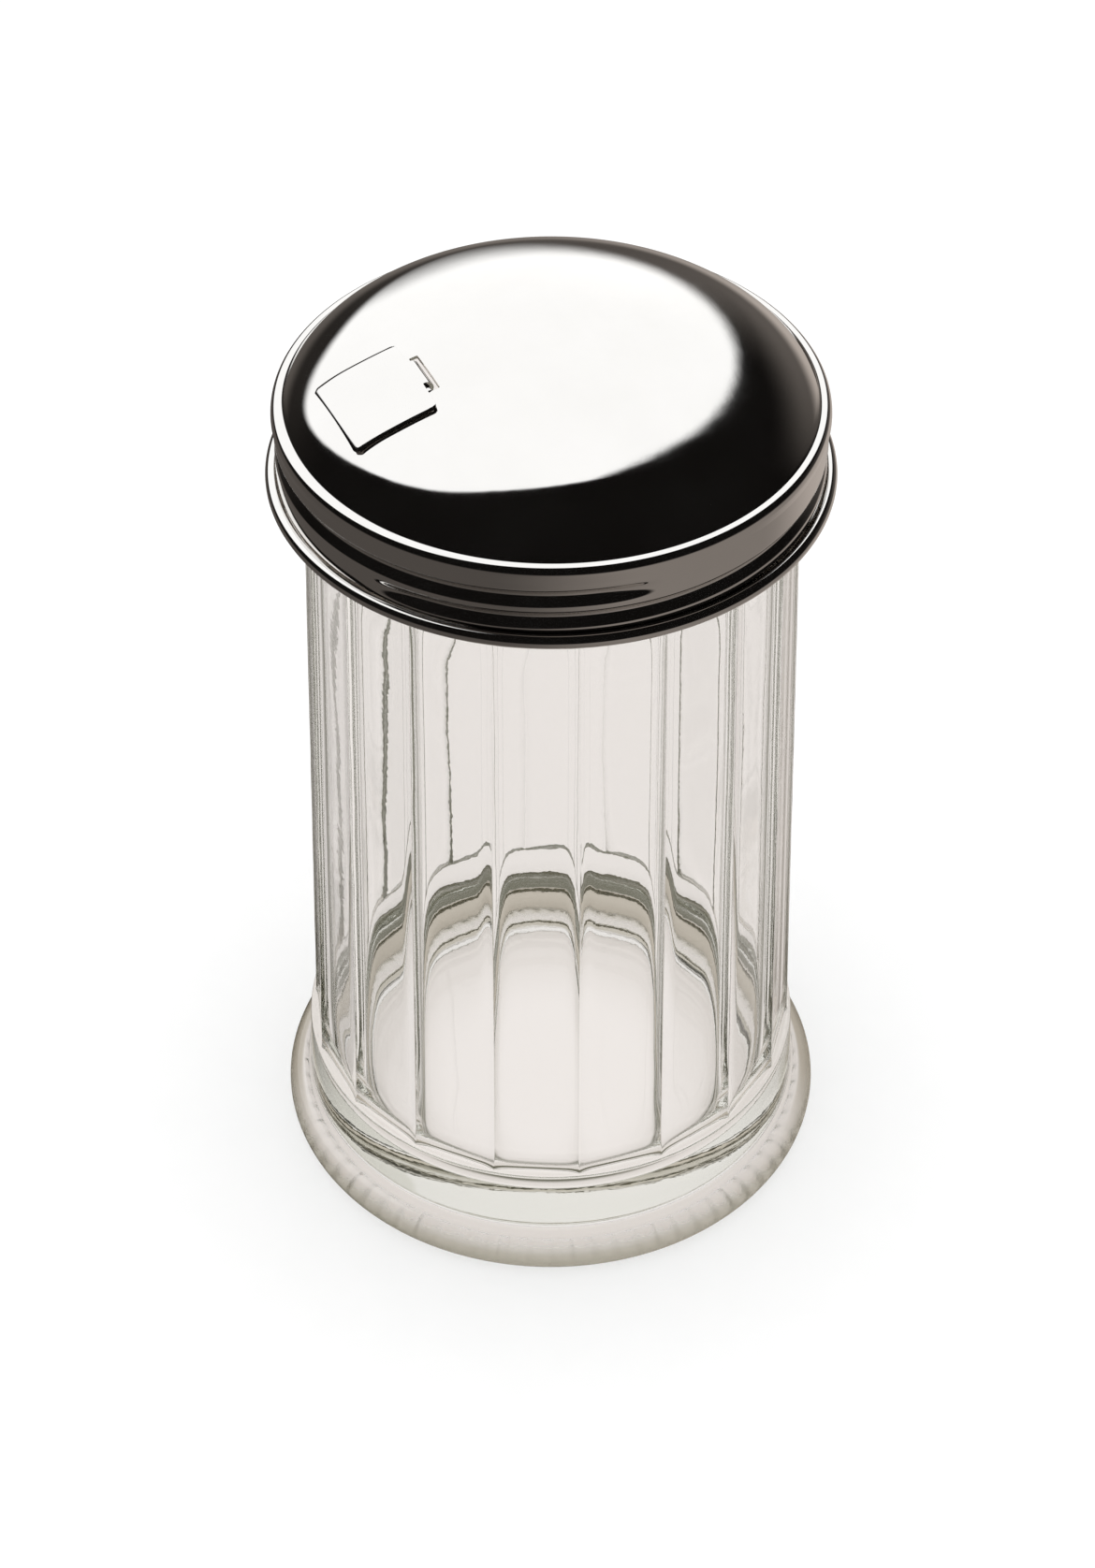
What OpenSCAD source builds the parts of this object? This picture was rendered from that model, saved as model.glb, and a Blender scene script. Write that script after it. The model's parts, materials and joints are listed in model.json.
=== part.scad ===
// Diner sugar pourer: fluted glass jar, screw-on domed steel lid, swinging pour flap and seal ring.
// Units are millimetres. +Z is up, the origin is the centre of the jar's resting ring at z = 0.
// The pour flap points along -Y, and its hinge axis is parallel to X.

/* [Jar] */
// Radius over the rounded foot ring
foot_r = 40.25; // [39:0.05:42]
// Height of the foot ring
foot_h = 5.6; // [4.8:0.1:6.2]
// Height where the flutes end on the round base
flute_floor_z = 17.2; // [16:0.1:20]
// Radius over the flute ridges at the bottom of the flutes
ridge_r_low = 35.9; // [35.6:0.05:36.2]
// Radius over the flute ridges at the top of the flutes
ridge_r_high = 33.5; // [33.2:0.05:34.2]
// Number of flutes around the jar
flute_count = 18; // [16:1:20]
// How far each flute is hollowed below a flat panel
flute_hollow = 0.25; // [0.1:0.05:0.5]
// Turn of the flutes about the jar axis, in degrees
flute_phase = 2.7; // [0:0.1:20]
// Thickness of the glass floor
floor_t = 8; // [6:0.5:10]
// Radius of the jar mouth
mouth_r = 31.2; // [30.5:0.1:31.6]
// Outer radius of the threaded neck
neck_r = 34.7; // [34.5:0.05:34.8]

/* [Thread] */
// Rise of the lid for one full turn
pitch = 3.4; // [3.2:0.1:3.6]
// Turn from one end of the thread to the other, in degrees
thread_sweep = 430; // [380:5:440]
// Outer radius of the glass thread
glass_thread_r = 35.75; // [35.6:0.05:35.8]

/* [Lid] */
// Thickness of the steel sheet
sheet = 0.45; // [0.4:0.05:0.5]
// Radius of the large cap of the dome
cap_r = 84; // [80:1:90]
// Radius of the rounded shoulder of the dome
shoulder_r = 17; // [16:0.5:18]
// Outer radius of the threaded skirt
skirt_r = 36.8; // [36.7:0.05:36.9]
// Depth of the rolled thread groove
groove_depth = 0.95; // [0.9:0.05:1]
// Radius of the rolled bead at the foot of the skirt
bead_r = 1; // [0.95:0.05:1.05]

/* [Flap] */
// Width of the flap plate
flap_w = 14.7; // [13:0.1:15.5]
// Distance from the lid axis to the outer edge of the flap
flap_reach = 30.4; // [29:0.1:31.5]
// Gap between the closed flap and the dome
flap_gap = 0.2; // [0.2:0.05:0.3]
// Width of the tongue that curls around the hinge bar
tongue_w = 5.2; // [4:0.1:6.5]

/* [Hidden] */
$fn = 96;

// Heights up the jar and the lid.
flute_top_z = 117.5;
neck_z = 119.8;
lip_z = 128.45;
ledge_z = 130;
bead_z = 118.8;
thread_top_z = 125.5;
overlap = 0.3;

// Jar section.
foot_half = foot_h / 2;
foot_centre_r = foot_r - foot_half;
drum_r_top = ridge_r_low + 0.6;
drum_r_low = 36.85;
drum_chamfer = 0.5;
cove_r = 2.6;
cove_centre_r = drum_r_low + cove_r;
cove_centre_z = foot_half + sqrt(pow(foot_half + cove_r, 2) - pow(cove_centre_r - foot_centre_r, 2));
foot_top_angle = atan2(cove_centre_z - foot_half, cove_centre_r - foot_centre_r);
corner_r = 10;
cavity_r_low = 32.3;
cavity_r_high = 30.4;
cavity_neck_z = 121;
lip_round = 1.1;
push_up_r = 33.2;
push_up_h = 1.5;
push_up_slope = 1;
neck_root_drop = 0.7;
neck_root_inset = 1.5;
neck_step = 0.1;

// Flutes: each one is a large cylinder laid along the taper of the wall.
flute_step = 360 / flute_count;
ridge_land = 1.6;
flute_len = flute_top_z - flute_floor_z;
taper = atan((ridge_r_low - ridge_r_high) / flute_len);
half_flute = (flute_step - ridge_land) / 2;
half_chord = ridge_r_low * sin(half_flute);
flute_r = (pow(half_chord, 2) + pow(flute_hollow, 2)) / (2 * flute_hollow);
flute_bed_r = ridge_r_low * cos(half_flute) - flute_hollow;

// Thread run, measured clockwise from its upper end as seen from above.
thread_start = 3;
thread_step = 5;
thread_blend = 18;
thread_end_share = 0.06;
glass_thread_lift = pitch / 2;
glass_thread_root = neck_r - 0.2;
glass_root_half = 1;
glass_tip_half = 0.4;
groove_root = skirt_r + 0.4;
groove_tip = skirt_r - groove_depth;
groove_root_half = 1.3;
groove_tip_half = 0.5;
inner_root = skirt_r - sheet + 0.2;
inner_tip = skirt_r - sheet - groove_depth;
inner_root_half = 1.5;
inner_tip_half = 0.8;

// Dome section: a shallow cap that runs tangent into a rounder shoulder.
crease_r = 35.5;
crease_slope = 55;
shoulder_centre_r = crease_r - shoulder_r * sin(crease_slope);
shoulder_centre_z = ledge_z - shoulder_r * cos(crease_slope);
centre_gap = cap_r - shoulder_r;
cap_centre_z = shoulder_centre_z - sqrt(pow(centre_gap, 2) - pow(shoulder_centre_r, 2));
blend_angle = asin(shoulder_centre_r / centre_gap);
inner_crease_slope = acos((ledge_z - sheet - shoulder_centre_z) / (shoulder_r - sheet));
cap_steps = 9;
blend_skip = 2;
shoulder_steps = 8;

// Edge of the lid, skirt and bead section.
edge_round = 1.3;
edge_r = 37.05;
edge_centre_r = edge_r - edge_round;
edge_centre_z = ledge_z - edge_round;
skirt_top_z = edge_centre_z - 0.9;
skirt_low_z = bead_z + 0.3;
bead_centre_r = skirt_r + 0.45;
curl_start = 180;
curl_end = 465;
curl_steps = 14;

// Hinge: a round bar left between the slot and the pour opening.
hinge_r = 18.8;
bar_r = 0.55;
bar_half = 3.95;
bar_sink = 0.45;
loop_inner_r = bar_r + 0.05;
loop_outer_r = loop_inner_r + sheet;
strip_len = loop_outer_r + 0.05;
strip_inset = 0.02;
hinge_tilt = asin(hinge_r / cap_r);
hinge_y = -(hinge_r - bar_sink * sin(hinge_tilt));
hinge_z = cap_centre_z + (cap_r - bar_sink) * cos(hinge_tilt);
flap_inner_reach = hinge_r + 0.3;
slot_w = 7.7;
slot_reach = 17.3;
pour_w = 11;
pour_reach = 29.2;
strip_half = 0.28;
cut_h = 25;

// Seal ring.
seal_inner_r = 32.6;
seal_outer_r = 36.1;
seal_t = 1;

// ---- shared shapes ----

// Points on an arc in the section plane, with the angle measured from the radial direction.
function arc(r, z, radius, from_angle, to_angle, steps) =
    [for (i = [0:steps])
        let (a = from_angle + (to_angle - from_angle) * i / steps)
        [r + radius * cos(a), z + radius * sin(a)]];

// Line of the dome from the axis out to the crease, grown outward by the given distance.
function dome_line(grow, crease_angle) = concat(
    arc(0, cap_centre_z, cap_r + grow, 90, 90 - blend_angle, cap_steps),
    arc(shoulder_centre_r, shoulder_centre_z, shoulder_r + grow,
        90 - blend_angle - blend_skip, 90 - crease_angle, shoulder_steps));

function reversed(list) = [for (i = [len(list) - 1:-1:0]) list[i]];

// Share of full depth along the thread, easing in and out at both ends.
function ease(t) = t * t * (3 - 2 * t);
function thread_share(a) =
    thread_end_share + (1 - thread_end_share) * ease(min(1, a / thread_blend, (thread_sweep - a) / thread_blend));

// One station of a thread: root_r stays fixed while the tip moves with the share of full depth.
function station(a, root_r, tip_r, root_half, tip_half, lift) =
    let (turn = thread_start - a)
    let (z = thread_top_z + lift - pitch * a / 360)
    let (tip = root_r + (tip_r - root_r) * thread_share(a))
    [
        [root_r * cos(turn), root_r * sin(turn), z - root_half],
        [tip * cos(turn), tip * sin(turn), z - tip_half],
        [tip * cos(turn), tip * sin(turn), z + tip_half],
        [root_r * cos(turn), root_r * sin(turn), z + root_half]
    ];

// A helical ridge with a four-sided section; outward is true when the tip is outside the root.
module helix(root_r, tip_r, root_half, tip_half, lift, outward) {
    stations = [for (a = [0:thread_step:thread_sweep]) station(a, root_r, tip_r, root_half, tip_half, lift)];
    count = len(stations);
    points = [for (s = stations) for (p = s) p];
    walls = [for (i = [0:count - 2]) for (k = [0:3])
        [4 * i + k, 4 * i + (k + 1) % 4, 4 * i + 4 + (k + 1) % 4, 4 * i + 4 + k]];
    last = 4 * (count - 1);
    faces = concat(walls, [[3, 2, 1, 0]], [[last, last + 1, last + 2, last + 3]]);
    turned = [for (f = faces) reversed(f)];
    polyhedron(points = points, faces = outward ? turned : faces, convexity = 8);
}

// Upright prism over the front of the dome, from one reach to another.
module front_prism(width, inner, outer) {
    translate([-width / 2, -outer, lip_z])
        cube([width, outer - inner, cut_h]);
}

// ---- jar ----

// Solid base: resting face, round foot ring, cove and drum.
module base() {
    rotate_extrude()
        polygon(concat(
            [[0, push_up_h], [push_up_r - push_up_slope, push_up_h], [push_up_r, 0], [foot_centre_r, 0]],
            arc(foot_centre_r, foot_half, foot_half, -75, foot_top_angle, 11),
            arc(cove_centre_r, cove_centre_z, cove_r, 180 + foot_top_angle, 180, 5),
            [
                [drum_r_top, flute_floor_z - drum_chamfer],
                [drum_r_top - drum_chamfer, flute_floor_z],
                [0, flute_floor_z]
            ]));
}

module flute() {
    translate([flute_bed_r, 0, flute_floor_z])
        rotate([0, -taper, 0])
            translate([flute_r, 0, -overlap])
                cylinder(r = flute_r, h = flute_len + 5);
}

module fluted_body() {
    difference() {
        translate([0, 0, flute_floor_z - 2 * overlap])
            cylinder(r1 = ridge_r_low, r2 = ridge_r_high, h = flute_len + 4 * overlap);
        for (i = [0:flute_count - 1])
            rotate([0, 0, flute_phase + (i + 0.5) * flute_step])
                flute();
    }
}

module neck() {
    rotate_extrude()
        polygon(concat(
            [
                [0, flute_top_z - neck_root_drop],
                [ridge_r_high - neck_root_inset, flute_top_z - neck_root_drop],
                [ridge_r_high + neck_step, flute_top_z],
                [neck_r, neck_z]
            ],
            arc(neck_r - lip_round, lip_z - lip_round, lip_round, 0, 90, 5),
            [[0, lip_z]]));
}

// Hollow of the jar with a rounded floor corner and a rounded mouth.
module cavity() {
    rotate_extrude()
        polygon(concat(
            [[0, floor_t]],
            arc(cavity_r_low - corner_r, floor_t + corner_r, corner_r, -90, 0, 8),
            [[cavity_r_high, flute_top_z], [mouth_r, cavity_neck_z]],
            arc(mouth_r + lip_round, lip_z - lip_round, lip_round, 180, 110, 5),
            [[mouth_r + lip_round, lip_z + 1], [0, lip_z + 1]]));
}

module jar() {
    color([0.88, 0.93, 0.9, 0.4])
        difference() {
            union() {
                base();
                fluted_body();
                neck();
                helix(glass_thread_root, glass_thread_r, glass_root_half, glass_tip_half, glass_thread_lift, true);
            }
            cavity();
        }
}

// ---- lid ----

// Dome, ledge, edge, skirt and curled bead in one closed sheet section.
module lid_shell() {
    outside = concat(
        dome_line(0, crease_slope),
        arc(edge_centre_r, edge_centre_z, edge_round, 90, 0, 5),
        [[skirt_r, skirt_top_z], [skirt_r, skirt_low_z]],
        arc(bead_centre_r, bead_z, bead_r - sheet, curl_start, curl_end, curl_steps));
    inside = concat(
        dome_line(-sheet, inner_crease_slope),
        arc(edge_centre_r, edge_centre_z, edge_round - sheet, 90, 0, 5),
        [[skirt_r - sheet, skirt_top_z], [skirt_r - sheet, skirt_low_z]],
        arc(bead_centre_r, bead_z, bead_r, curl_start, curl_end, curl_steps));
    rotate_extrude()
        polygon(concat(outside, reversed(inside)));
}

module hinge_bar() {
    translate([-bar_half, hinge_y, hinge_z])
        rotate([0, 90, 0])
            cylinder(r = bar_r, h = 2 * bar_half);
}

module lid() {
    color([0.75, 0.75, 0.76])
        difference() {
            union() {
                difference() {
                    lid_shell();
                    front_prism(pour_w, hinge_r + strip_half, pour_reach);
                    front_prism(slot_w, slot_reach, hinge_r - strip_half);
                }
                hinge_bar();
                helix(inner_root, inner_tip, inner_root_half, inner_tip_half, 0, false);
            }
            helix(groove_root, groove_tip, groove_root_half, groove_tip_half, 0, false);
        }
}

// ---- flap ----

module flap_plate() {
    intersection() {
        rotate_extrude()
            polygon(concat(dome_line(flap_gap + sheet, crease_slope), reversed(dome_line(flap_gap, crease_slope))));
        front_prism(flap_w, flap_inner_reach, flap_reach);
    }
}

// The tongue: a loop around the hinge bar and the short strip that joins it to the plate.
module flap_tongue() {
    translate([0, hinge_y, hinge_z])
        rotate([hinge_tilt, 0, 0]) {
            rotate([0, 90, 0])
                difference() {
                    cylinder(r = loop_outer_r, h = tongue_w, center = true);
                    cylinder(r = loop_inner_r, h = tongue_w + 1, center = true);
                }
            translate([-tongue_w / 2, -strip_len, loop_inner_r + strip_inset])
                cube([tongue_w, strip_len, sheet - 2 * strip_inset]);
        }
}

module flap() {
    color([0.8, 0.8, 0.81]) {
        flap_plate();
        flap_tongue();
    }
}

// ---- seal ring ----

module seal_ring() {
    color([0.93, 0.93, 0.9])
        translate([0, 0, lip_z])
            difference() {
                cylinder(r = seal_outer_r, h = seal_t);
                translate([0, 0, -1])
                    cylinder(r = seal_inner_r, h = seal_t + 2);
            }
}

// ---- parts ----

jar();
lid();
flap();
seal_ring();
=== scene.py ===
import json
import math

import bmesh
import bpy
import numpy as np
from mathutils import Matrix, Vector


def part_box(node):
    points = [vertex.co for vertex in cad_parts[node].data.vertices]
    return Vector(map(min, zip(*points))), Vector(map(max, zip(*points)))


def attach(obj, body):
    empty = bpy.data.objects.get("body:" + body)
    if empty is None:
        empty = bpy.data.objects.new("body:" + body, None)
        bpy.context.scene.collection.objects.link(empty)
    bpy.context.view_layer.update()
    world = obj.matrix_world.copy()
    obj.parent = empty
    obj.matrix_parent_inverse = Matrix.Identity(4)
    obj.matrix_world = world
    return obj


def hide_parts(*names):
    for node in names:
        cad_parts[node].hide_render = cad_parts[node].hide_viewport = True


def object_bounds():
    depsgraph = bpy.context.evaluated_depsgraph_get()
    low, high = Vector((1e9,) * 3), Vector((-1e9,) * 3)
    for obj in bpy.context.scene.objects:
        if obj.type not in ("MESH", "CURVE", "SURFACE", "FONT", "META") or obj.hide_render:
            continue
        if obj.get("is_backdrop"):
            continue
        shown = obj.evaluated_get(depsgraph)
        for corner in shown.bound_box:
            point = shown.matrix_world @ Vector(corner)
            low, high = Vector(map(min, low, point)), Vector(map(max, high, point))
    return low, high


# Looks of a diner sugar pourer: fluted glass jar, domed steel screw lid, pour flap and seal ring.
# Lengths are in millimetres until a mesh is made, and in metres in the studio, materials and stage.
# Angles are in radians unless a name or comment says degrees.

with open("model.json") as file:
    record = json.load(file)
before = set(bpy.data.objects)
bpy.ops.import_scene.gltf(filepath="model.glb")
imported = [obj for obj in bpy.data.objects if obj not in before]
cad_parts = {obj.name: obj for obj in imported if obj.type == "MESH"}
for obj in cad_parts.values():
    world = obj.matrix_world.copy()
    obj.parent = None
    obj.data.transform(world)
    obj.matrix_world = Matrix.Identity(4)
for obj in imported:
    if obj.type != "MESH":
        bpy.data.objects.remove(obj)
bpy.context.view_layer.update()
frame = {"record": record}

MM = 0.001


def box_mm(node):
    """Lowest and highest corner of a CAD node, in millimetres."""
    low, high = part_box(node)
    return np.array(low) / MM, np.array(high) / MM


jar_low, jar_high = box_mm("jar")
lid_low, lid_high = box_mm("lid")
flap_low, flap_high = box_mm("flap")
seal_low, seal_high = box_mm("seal_ring")
swing = next(j for j in frame["record"]["behaviour"]["joints"] if j["name"] == "flap_swing")
hinge_y, hinge_z = (c / MM for c in swing["pos_m"][1:])

# Heights and radii read from the CAD boxes.
FOOT_R = jar_high[0]
LIP_Z = jar_high[2]
APEX_Z = lid_high[2]
BEAD_LOW_Z = lid_low[2]
BEAD_OUT_R = lid_high[0]
REST_Z = jar_low[2]

# Two faces that meet at more than these degrees keep a crisp edge between them.
SOFT_SHARP_DEG = 60
SHEET_SHARP_DEG = 32
SOLID_SHARP_DEG = 40

# ---- section helpers ----


def arc(r, z, radius, start, end, steps, radius_z=None):
    """Section points on an arc, angles in degrees from the radial direction."""
    a = np.radians(np.linspace(start, end, steps + 1))
    tall = radius if radius_z is None else radius_z
    return [(r + radius * math.cos(t), z + tall * math.sin(t)) for t in a]


def line(r0, z0, r1, z1, steps):
    """Section points along a straight line, without its first point."""
    return [(r0 + (r1 - r0) * i / steps, z0 + (z1 - z0) * i / steps) for i in range(1, steps + 1)]


def smoothstep(low, high, x):
    """0 to 1 as x goes from low to high, with eased ends."""
    t = np.clip((x - low) / (high - low), 0, 1)
    return t * t * (3 - 2 * t)


def smooth_min(a, b, width):
    """The lower of a and b, rounded where they cross."""
    h = np.clip(0.5 + 0.5 * (b - a) / width, 0, 1)
    return b + (a - b) * h - width * h * (1 - h)


def waves(theta, z, seed, count, amplitude, turns, wavelength):
    """Gentle unevenness over a round wall: a sum of ripples that closes on itself round the axis."""
    rng = np.random.default_rng(seed)
    total = 0 * theta
    for _ in range(count):
        m = rng.integers(turns[0], turns[1] + 1)
        k = 2 * math.pi / rng.uniform(*wavelength) * rng.choice((-1, 1))
        total = total + np.sin(m * theta + k * z + rng.uniform(0, 2 * math.pi))
    return amplitude * total / math.sqrt(count)


def mesh_piece(name, points, faces, sharp_deg):
    """A smooth shaded mesh object from points in millimetres, with crisp edges beyond sharp_deg."""
    mesh = bpy.data.meshes.new(name)
    mesh.from_pydata((np.asarray(points) * MM).tolist(), [], faces)
    mesh.validate()
    obj = bpy.data.objects.new(name, mesh)
    bpy.context.scene.collection.objects.link(obj)
    finish_mesh(obj, sharp_deg)
    return obj


def finish_mesh(obj, sharp_deg):
    """Faces outward, smooth shading, crisp edges where two faces meet at more than sharp_deg."""
    bm = bmesh.new()
    bm.from_mesh(obj.data)
    bmesh.ops.recalc_face_normals(bm, faces=bm.faces)
    limit = math.radians(sharp_deg)
    for face in bm.faces:
        face.smooth = True
    for edge in bm.edges:
        edge.smooth = len(edge.link_faces) == 2 and edge.calc_face_angle(0) < limit
    bm.to_mesh(obj.data)
    bm.free()
    obj.data.update()


def lathe_mesh(name, theta, rows, bottom, top, sharp_deg):
    """Closed round body. rows holds (radius, height) per ring, each a number or one value per column;
    bottom and top are the heights of the two points on the axis that close it."""
    columns = len(theta)
    rings = []
    for r, z in rows:
        r = np.broadcast_to(r, columns)
        z = np.broadcast_to(z, columns)
        rings.append(np.stack([r * np.cos(theta), r * np.sin(theta), z], axis=1))
    points = np.concatenate(rings + [[[0, 0, bottom]], [[0, 0, top]]])
    first_pole = len(rings) * columns
    faces = []
    for j in range(columns):
        k = (j + 1) % columns
        faces.append((first_pole, k, j))
        last = (len(rings) - 1) * columns
        faces.append((last + j, last + k, first_pole + 1))
        for i in range(len(rings) - 1):
            a = i * columns
            b = a + columns
            faces.append((a + j, a + k, b + k, b + j))
    return mesh_piece(name, points, faces, sharp_deg)


# ---- thread shared by jar and lid ----

PITCH = 3.4
THREAD_SWEEP = 430
THREAD_START = 3
THREAD_TOP_Z = 125.5
THREAD_BLEND = 18
GLASS_LIFT = PITCH / 2
GLASS_THREAD_HALF = 1.15


def thread_height(theta, z, lift, half_width):
    """Share of full thread depth, 0 to 1, at each angle and height, with rounded flanks and eased ends.
    The run is measured in degrees, clockwise from the thread's upper end as seen from above."""
    height = 0 * theta * z
    turned = np.mod(THREAD_START - np.degrees(theta), 360)
    for lap in (0, 360):
        a = turned + lap
        run = np.minimum(a, THREAD_SWEEP - a) / THREAD_BLEND
        depth = np.where(run > 0, smoothstep(0, 1, run), 0)
        offset = z - (THREAD_TOP_Z + lift - PITCH * a / 360)
        flank = np.cos(np.clip(offset / half_width, -1, 1) * math.pi / 2) ** 2
        height = np.maximum(height, depth * flank)
    return height


# ---- glass jar ----

FLUTES = 18
FLUTE_PHASE_DEG = 2.7
FLUTE_FLOOR_Z = 17.2
FLUTE_TOP_Z = 117.5
RIDGE_LOW_R = 35.9
RIDGE_HIGH_R = 33.5
RIDGE_PROUD = 0.3
RIDGE_SPREAD = 1.9
COLUMNS_PER_FLUTE = 26
NECK_R = 34.7
NECK_Z = 119.8
THREAD_PROUD = 1.05
CAVITY_LOW_R = 32.3
CAVITY_HIGH_R = 30.4
MOUTH_R = 31.2
CAVITY_FACET = 0.34
CORNER_R = 10
FLOOR_Z = 8
PUSH_UP_Z = REST_Z + 1.5
PUSH_UP_R = 28
REST_INNER_R = 33.4
LIP_ROUND = 1.1
KNURLS = 72
KNURL_DEPTH = 0.11
CAVITY_NECK_Z = 122
CAVITY_SOFT = 0.25
WALL_ALLOWANCE = 0.03
BEND_STEPS = 7

# Unevenness of the pressed glass: seed, ripples, size, turns round the axis, wavelength along it.
WALL_SWELL = (11, 9, 0.008, (3, 18), (30, 90))
RIDGE_RIPPLE = (12, 12, 0.012, (18, 60), (8, 24))
CAVITY_SWELL = (21, 10, 0.012, (2, 9), (30, 120))
CAVITY_RIPPLE = (22, 10, 0.003, (10, 30), (10, 30))


def flute_layout():
    """Column angles, crowded at the ridges, and each column's angle from the middle of its flute."""
    step = 360 / FLUTES
    crowding = 0.8
    t = np.linspace(-1, 1, COLUMNS_PER_FLUTE, endpoint=False)
    within = step / 2 * (crowding * np.sin(math.pi / 2 * t) + (1 - crowding) * t)
    middles = FLUTE_PHASE_DEG + (np.arange(FLUTES) + 0.5) * step
    theta = (middles[:, None] + within).ravel()
    return np.radians(theta), np.radians(np.tile(within, FLUTES))


def ridge_radius(z):
    """Radius of the ridges' crests, which lean in towards the top."""
    share = (z - FLUTE_FLOOR_Z) / (FLUTE_TOP_Z - FLUTE_FLOOR_Z)
    return RIDGE_LOW_R + (RIDGE_HIGH_R - RIDGE_LOW_R) * share


def flute_radius(z, within):
    """Outer radius of the panelled wall: flat panels whose edges sweep up to a narrow ridge."""
    half = math.pi / FLUTES
    ridge = ridge_radius(z)
    flat = (ridge - RIDGE_PROUD) * math.cos(half) / np.cos(within)
    gap = (half - np.abs(within)) * ridge
    return flat + RIDGE_PROUD * np.clip(1 - gap / RIDGE_SPREAD, 0, 1) ** 2


def cavity_radius(radius, within, share):
    """Inner radius: share 1 follows the flat panels with soft corners, share 0 is round."""
    flat = (radius - CAVITY_FACET) / np.cos(within)
    return radius + share * (smooth_min(flat, radius, CAVITY_SOFT) - radius)


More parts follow.
